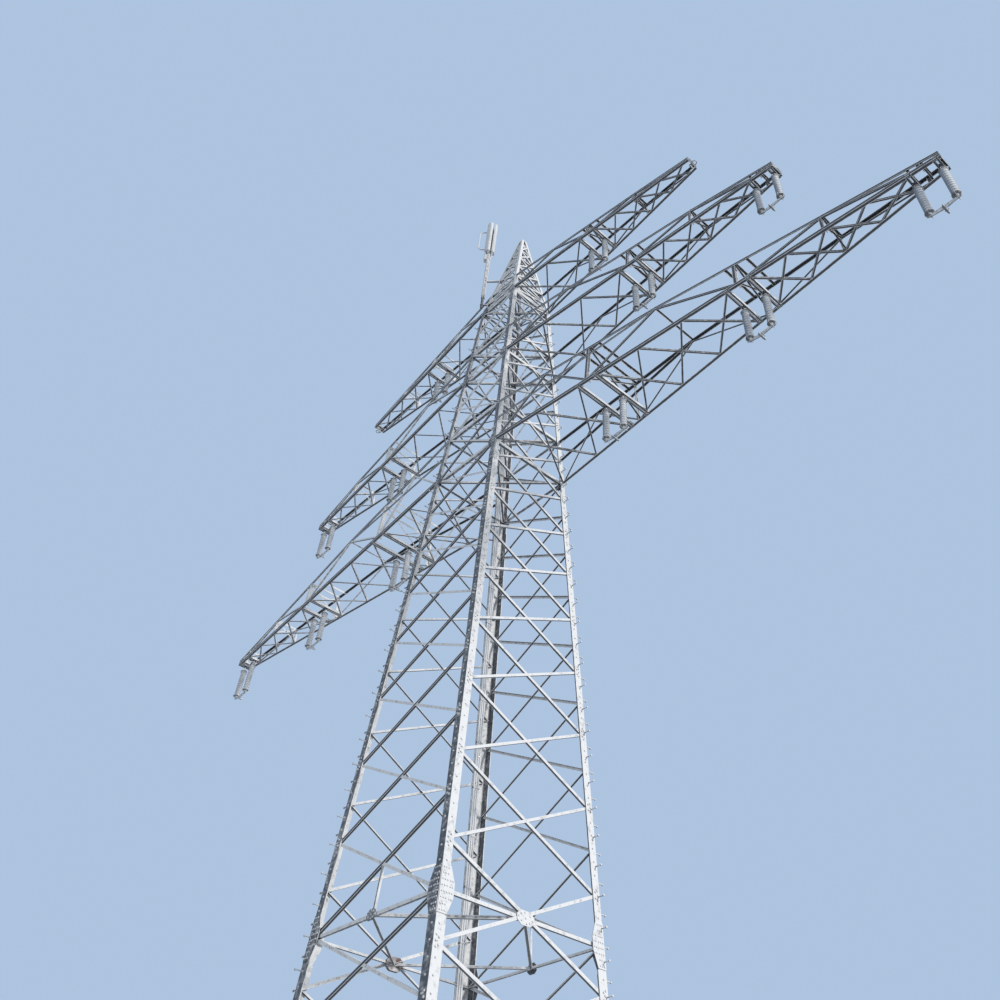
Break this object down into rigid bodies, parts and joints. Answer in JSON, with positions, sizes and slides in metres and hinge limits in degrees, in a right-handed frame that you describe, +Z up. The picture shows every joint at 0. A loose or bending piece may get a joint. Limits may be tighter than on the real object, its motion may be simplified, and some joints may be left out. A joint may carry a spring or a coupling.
{
  "type": "lattice transmission pylon",
  "caption": "Square tapering lattice tower with crossed bracing, three pairs of pointed crossarms, hanging insulator sets, a pointed peak and a small aerial mast",
  "frame": {"origin": "middle of the four feet, on the plane of the undersides of the base plates", "axes": "+Z is up, +X along the crossarms towards the right ones, +Y along the line the tower carries"},
  "size_m": [33.6, 6.1, 39.1],
  "materials": {
    "steel": "weathered galvanised steel, dull grey with pale rime",
    "fittings": "galvanised forged steel, dull grey",
    "porcelain": "glazed pale grey insulator rods",
    "aerial": "pale grey plastic radome",
    "cable": "black cable sheath"
  },
  "bodies": {
    "tower": {"aerial_mast": "steel", "aerial_panels": "aerial", "base_plates": "steel", "bracing_back": "steel", "bracing_front": "steel", "bracing_left": "steel", "bracing_right": "steel", "cable_tray": "steel", "cables": "cable", "crossarm_bottom_left": "steel", "crossarm_bottom_right": "steel", "crossarm_middle_left": "steel", "crossarm_middle_right": "steel", "crossarm_top_left": "steel", "crossarm_top_right": "steel", "earth_wire_clamps": "fittings", "leg_back_left": "steel", "leg_back_right": "steel", "leg_front_left": "steel", "leg_front_right": "steel", "peak": "steel", "ring_diamond": "steel"},
    "set_bottom_right_inner": {"insulators_bottom_right_inner": "porcelain", "fittings_bottom_right_inner": "fittings"},
    "set_bottom_left_inner": {"insulators_bottom_left_inner": "porcelain", "fittings_bottom_left_inner": "fittings"},
    "set_bottom_right_middle": {"insulators_bottom_right_middle": "porcelain", "fittings_bottom_right_middle": "fittings"},
    "set_bottom_left_middle": {"insulators_bottom_left_middle": "porcelain", "fittings_bottom_left_middle": "fittings"},
    "set_bottom_right_outer": {"insulators_bottom_right_outer": "porcelain", "fittings_bottom_right_outer": "fittings"},
    "set_bottom_left_outer": {"insulators_bottom_left_outer": "porcelain", "fittings_bottom_left_outer": "fittings"},
    "set_middle_right_inner": {"insulators_middle_right_inner": "porcelain", "fittings_middle_right_inner": "fittings"},
    "set_middle_left_inner": {"insulators_middle_left_inner": "porcelain", "fittings_middle_left_inner": "fittings"},
    "set_middle_right_outer": {"insulators_middle_right_outer": "porcelain", "fittings_middle_right_outer": "fittings"},
    "set_middle_left_outer": {"insulators_middle_left_outer": "porcelain", "fittings_middle_left_outer": "fittings"},
    "set_top_right_inner": {"insulators_top_right_inner": "porcelain", "fittings_top_right_inner": "fittings"},
    "set_top_left_inner": {"insulators_top_left_inner": "porcelain", "fittings_top_left_inner": "fittings"}
  },
  "joints": [
    {"name": "swing_bottom_right_inner", "type": "hinge", "parent": "tower", "child": "set_bottom_right_inner", "pos_m": [5.4, 0, 22.71], "axis": [1, 0, 0], "range_deg": [-45, 45]},
    {"name": "swing_bottom_left_inner", "type": "hinge", "parent": "tower", "child": "set_bottom_left_inner", "pos_m": [-5.4, 0, 22.71], "axis": [1, 0, 0], "range_deg": [-45, 45]},
    {"name": "swing_bottom_right_middle", "type": "hinge", "parent": "tower", "child": "set_bottom_right_middle", "pos_m": [10.85, 0, 22.71], "axis": [1, 0, 0], "range_deg": [-45, 45]},
    {"name": "swing_bottom_left_middle", "type": "hinge", "parent": "tower", "child": "set_bottom_left_middle", "pos_m": [-10.85, 0, 22.71], "axis": [1, 0, 0], "range_deg": [-45, 45]},
    {"name": "swing_bottom_right_outer", "type": "hinge", "parent": "tower", "child": "set_bottom_right_outer", "pos_m": [16.3, 0, 22.71], "axis": [1, 0, 0], "range_deg": [-45, 45]},
    {"name": "swing_bottom_left_outer", "type": "hinge", "parent": "tower", "child": "set_bottom_left_outer", "pos_m": [-16.3, 0, 22.71], "axis": [1, 0, 0], "range_deg": [-45, 45]},
    {"name": "swing_middle_right_inner", "type": "hinge", "parent": "tower", "child": "set_middle_right_inner", "pos_m": [6.9, 0, 27.81], "axis": [1, 0, 0], "range_deg": [-45, 45]},
    {"name": "swing_middle_left_inner", "type": "hinge", "parent": "tower", "child": "set_middle_left_inner", "pos_m": [-6.9, 0, 27.81], "axis": [1, 0, 0], "range_deg": [-45, 45]},
    {"name": "swing_middle_right_outer", "type": "hinge", "parent": "tower", "child": "set_middle_right_outer", "pos_m": [12.1, 0, 27.81], "axis": [1, 0, 0], "range_deg": [-45, 45]},
    {"name": "swing_middle_left_outer", "type": "hinge", "parent": "tower", "child": "set_middle_left_outer", "pos_m": [-12.1, 0, 27.81], "axis": [1, 0, 0], "range_deg": [-45, 45]},
    {"name": "swing_top_right_inner", "type": "hinge", "parent": "tower", "child": "set_top_right_inner", "pos_m": [4.8, 0, 32.21], "axis": [1, 0, 0], "range_deg": [-45, 45]},
    {"name": "swing_top_left_inner", "type": "hinge", "parent": "tower", "child": "set_top_left_inner", "pos_m": [-4.8, 0, 32.21], "axis": [1, 0, 0], "range_deg": [-45, 45]}
  ]
}
